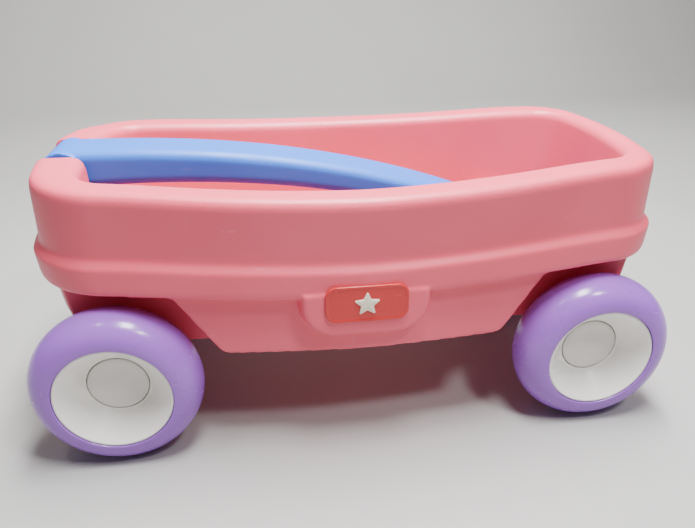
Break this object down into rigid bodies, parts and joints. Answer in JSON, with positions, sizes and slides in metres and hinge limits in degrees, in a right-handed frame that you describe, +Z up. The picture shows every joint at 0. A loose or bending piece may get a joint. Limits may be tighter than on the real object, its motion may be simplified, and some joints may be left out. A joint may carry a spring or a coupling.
{
  "type": "toddler pull wagon",
  "caption": "Small moulded toy wagon: double-wall tub on free-spinning wheels, with a hinged pull handle that folds into the tub.",
  "frame": {"origin": "on the ground under the middle of the wheelbase, on the wagon's middle plane", "axes": "+X towards the rear, the handle end is at -X; +Y towards the wagon's right-hand side; +Z up"},
  "size_m": [0.592, 0.291, 0.2607],
  "materials": {
    "tub_plastic": "satin",
    "tyre_plastic": "gloss",
    "dish_plastic": "gloss",
    "cap_plastic": "satin",
    "handle_plastic": "satin",
    "badge": "gloss",
    "star": "gloss",
    "steel": "satin",
    "washer": "matte"
  },
  "bodies": {
    "chassis": {"tub": "tub_plastic", "vent_plug": "tub_plastic", "front_axle": "steel", "rear_axle": "steel", "push_nuts": "steel", "axle_washers": "washer", "handle_pin": "steel", "badge_left": "badge", "badge_right": "badge", "star_left": "star", "star_right": "star"},
    "wheel_front_left": {"tyre_front_left": "tyre_plastic", "dish_front_left": "dish_plastic", "cap_front_left": "cap_plastic"},
    "wheel_front_right": {"tyre_front_right": "tyre_plastic", "dish_front_right": "dish_plastic", "cap_front_right": "cap_plastic"},
    "wheel_rear_left": {"tyre_rear_left": "tyre_plastic", "dish_rear_left": "dish_plastic", "cap_rear_left": "cap_plastic"},
    "wheel_rear_right": {"tyre_rear_right": "tyre_plastic", "dish_rear_right": "dish_plastic", "cap_rear_right": "cap_plastic"},
    "handle": {"pull_handle": "handle_plastic"}
  },
  "joints": [
    {"name": "front_left_spin", "type": "hinge", "parent": "chassis", "child": "wheel_front_left", "pos_m": [-0.221, -0.1155, 0.075], "axis": [0, 1, 0], "continuous": true},
    {"name": "front_right_spin", "type": "hinge", "parent": "chassis", "child": "wheel_front_right", "pos_m": [-0.221, 0.1155, 0.075], "axis": [0, 1, 0], "continuous": true},
    {"name": "rear_left_spin", "type": "hinge", "parent": "chassis", "child": "wheel_rear_left", "pos_m": [0.221, -0.1155, 0.075], "axis": [0, 1, 0], "continuous": true},
    {"name": "rear_right_spin", "type": "hinge", "parent": "chassis", "child": "wheel_rear_right", "pos_m": [0.221, 0.1155, 0.075], "axis": [0, 1, 0], "continuous": true},
    {"name": "handle_swing", "type": "hinge", "parent": "chassis", "child": "handle", "pos_m": [-0.259, 0, 0.2415], "axis": [0, -1, 0], "range_deg": [0, 195]}
  ]
}
